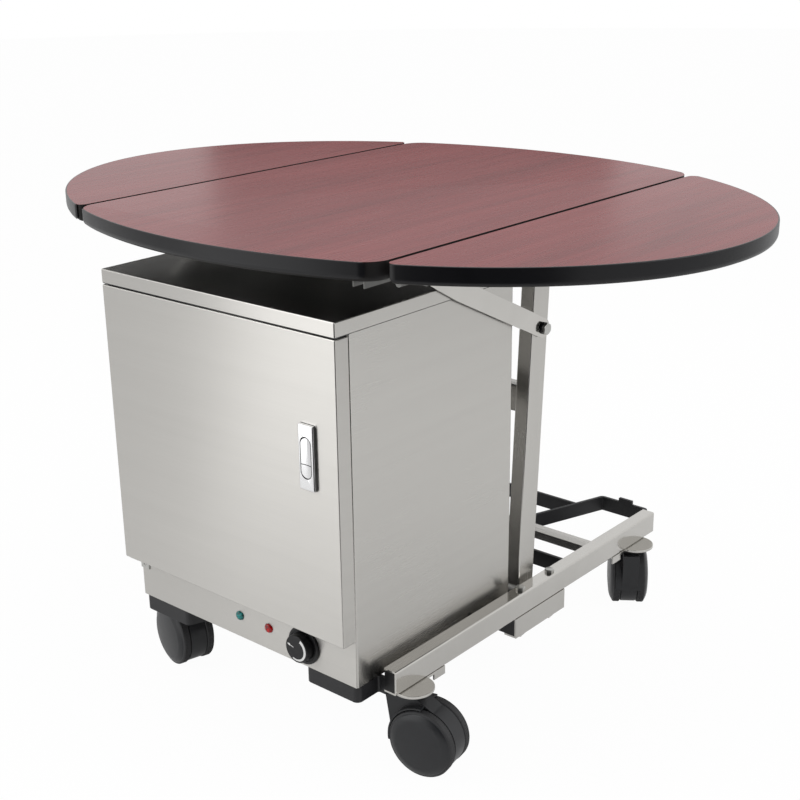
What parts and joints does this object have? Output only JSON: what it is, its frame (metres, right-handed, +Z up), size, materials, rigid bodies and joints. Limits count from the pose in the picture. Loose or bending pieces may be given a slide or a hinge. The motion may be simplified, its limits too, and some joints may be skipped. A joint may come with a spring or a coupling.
{
  "type": "room service table with heated cabinet",
  "caption": "Oval drop-leaf room service table on casters with an insulated, heated stainless food cabinet under the top; the top tilts and the leaves drop for storage.",
  "frame": {"origin": "on the floor under the middle of the table top", "axes": "+X to the right across the leaves, facing the door; +Y from the door to the back; +Z up"},
  "size_m": [1.166, 0.868, 0.751],
  "materials": {
    "stainless": "satin",
    "black_steel": "satin",
    "laminate": "satin laminate",
    "edging": "satin",
    "bright_steel": "bright",
    "chrome": "polished",
    "caster_plastic": "satin",
    "tyre": "matte",
    "knob_plastic": "satin",
    "green_lens": "glossy",
    "red_lens": "glossy",
    "seal": "matte",
    "washer_plastic": "matte",
    "foam": "matte foam",
    "heater_steel": "dull",
    "inlet_plastic": "matte"
  },
  "bodies": {
    "base": {"rail_left": "stainless", "rail_right": "stainless", "post_crossbeam": "black_steel", "beam_brackets": "stainless", "rear_crossbar": "stainless", "front_bearers": "black_steel", "rear_bearers": "black_steel", "tie_bars": "black_steel", "caster_straps": "stainless", "post_left": "stainless", "post_right": "stainless", "post_crossbar": "stainless", "frame_bolts": "bright_steel", "strut_washers": "washer_plastic", "tilt_hinge_bases": "bright_steel", "cabinet_shell": "stainless", "cabinet_cap": "stainless", "plinth_panel": "stainless", "cabinet_floor": "stainless", "cavity_liner": "stainless", "cabinet_insulation": "foam", "shelf_runners": "stainless", "wire_shelves": "bright_steel", "heating_element": "heater_steel", "thermostat_body": "inlet_plastic", "dial_bezel": "knob_plastic", "lamp_green": "green_lens", "lamp_red": "red_lens", "power_inlet": "inlet_plastic", "door_pivots": "bright_steel"},
    "door": {"door_skin": "stainless", "door_liner": "stainless", "door_core": "foam", "door_gasket": "seal", "latch_housing": "chrome"},
    "latch_paddle": {"latch_paddle": "chrome"},
    "latch_button": {"latch_button": "chrome"},
    "latch_tongue": {"latch_tongue": "bright_steel"},
    "thermostat_knob": {"thermostat_knob": "knob_plastic"},
    "table": {"centre_board": "laminate", "centre_edging": "edging", "table_channels": "bright_steel", "tilt_hinge_leaves": "bright_steel", "leaf_hinge_bases": "bright_steel"},
    "leaf_left": {"leaf_left_board": "laminate", "leaf_left_edging": "edging", "leaf_left_hinges": "bright_steel"},
    "leaf_right": {"leaf_right_board": "laminate", "leaf_right_edging": "edging", "leaf_right_hinges": "bright_steel"},
    "strut_left": {"strut_left": "stainless"},
    "strut_right": {"strut_right": "stainless"},
    "caster_front_left": {"caster_front_left_hood": "caster_plastic"},
    "wheels_front_left": {"caster_front_left_wheels": "tyre"},
    "caster_front_right": {"caster_front_right_hood": "caster_plastic"},
    "wheels_front_right": {"caster_front_right_wheels": "tyre"},
    "caster_rear_left": {"caster_rear_left_hood": "caster_plastic"},
    "wheels_rear_left": {"caster_rear_left_wheels": "tyre"},
    "caster_rear_right": {"caster_rear_right_hood": "caster_plastic"},
    "wheels_rear_right": {"caster_rear_right_wheels": "tyre"}
  },
  "joints": [
    {"name": "door_swing", "type": "hinge", "parent": "base", "child": "door", "pos_m": [-0.222, -0.37825, 0.481], "axis": [0, 0, -1], "range_deg": [0, 110]},
    {"name": "paddle_lift", "type": "hinge", "parent": "door", "child": "latch_paddle", "pos_m": [0.176, -0.39725, 0.504], "axis": [-1, 0, 0], "range_deg": [0, 28], "stiffness_Nm_per_rad": 0.05},
    {"name": "button_push", "type": "slide", "parent": "door", "child": "latch_button", "axis": [0, 1, 0], "range_m": [0, 0.003], "stiffness_N_per_m": 600},
    {"name": "tongue_slide", "type": "slide", "parent": "door", "child": "latch_tongue", "axis": [-1, 0, 0], "range_m": [0, 0.008]},
    {"name": "knob_turn", "type": "hinge", "parent": "base", "child": "thermostat_knob", "pos_m": [0.126, -0.3618, 0.176], "axis": [0, 1, 0], "range_deg": [0, 270]},
    {"name": "table_tilt", "type": "hinge", "parent": "base", "child": "table", "pos_m": [0, 0.08763, 0.719], "axis": [-1, 0, 0], "range_deg": [0, 90]},
    {"name": "leaf_left_drop", "type": "hinge", "parent": "table", "child": "leaf_left", "pos_m": [-0.289, 0, 0.7195], "axis": [0, -1, 0], "range_deg": [0, 90]},
    {"name": "leaf_right_drop", "type": "hinge", "parent": "table", "child": "leaf_right", "pos_m": [0.289, 0, 0.7195], "axis": [0, 1, 0], "range_deg": [0, 90]},
    {"name": "strut_left_fold", "type": "hinge", "parent": "base", "child": "strut_left", "pos_m": [-0.229, 0.05241, 0.563], "axis": [-1, 0, 0], "range_deg": [0, 70]},
    {"name": "strut_right_fold", "type": "hinge", "parent": "base", "child": "strut_right", "pos_m": [0.229, 0.05241, 0.563], "axis": [-1, 0, 0], "range_deg": [0, 70]},
    {"name": "front_left_swivel", "type": "hinge", "parent": "base", "child": "caster_front_left", "pos_m": [-0.251, -0.285, 0.125], "axis": [0, 0, 1], "continuous": true},
    {"name": "front_left_roll", "type": "hinge", "parent": "caster_front_left", "child": "wheels_front_left", "pos_m": [-0.21898, -0.29298, 0.0508], "axis": [-0.2419, -0.9703, 0], "continuous": true},
    {"name": "front_right_swivel", "type": "hinge", "parent": "base", "child": "caster_front_right", "pos_m": [0.251, -0.285, 0.125], "axis": [0, 0, 1], "continuous": true},
    {"name": "front_right_roll", "type": "hinge", "parent": "caster_front_right", "child": "wheels_front_right", "pos_m": [0.28355, -0.27955, 0.0508], "axis": [0.165, -0.9863, 0], "continuous": true},
    {"name": "rear_left_swivel", "type": "hinge", "parent": "base", "child": "caster_rear_left", "pos_m": [-0.251, 0.308, 0.125], "axis": [0, 0, 1], "continuous": true},
    {"name": "rear_left_roll", "type": "hinge", "parent": "caster_rear_left", "child": "wheels_rear_left", "pos_m": [-0.24246, 0.33988, 0.0508], "axis": [0.9659, -0.2588, 0], "continuous": true},
    {"name": "rear_right_swivel", "type": "hinge", "parent": "base", "child": "caster_rear_right", "pos_m": [0.251, 0.308, 0.125], "axis": [0, 0, 1], "continuous": true},
    {"name": "rear_right_roll", "type": "hinge", "parent": "caster_rear_right", "child": "wheels_rear_right", "pos_m": [0.2316, 0.3347, 0.0508], "axis": [0.809, 0.5878, 0], "continuous": true}
  ],
  "couplings": [
    {"joint": "tongue_slide", "follows": "paddle_lift", "m_per_rad": 0.0163},
    {"joint": "strut_left_fold", "follows": "table_tilt", "ratio": 0.76423},
    {"joint": "strut_right_fold", "follows": "table_tilt", "ratio": 0.76423}
  ]
}
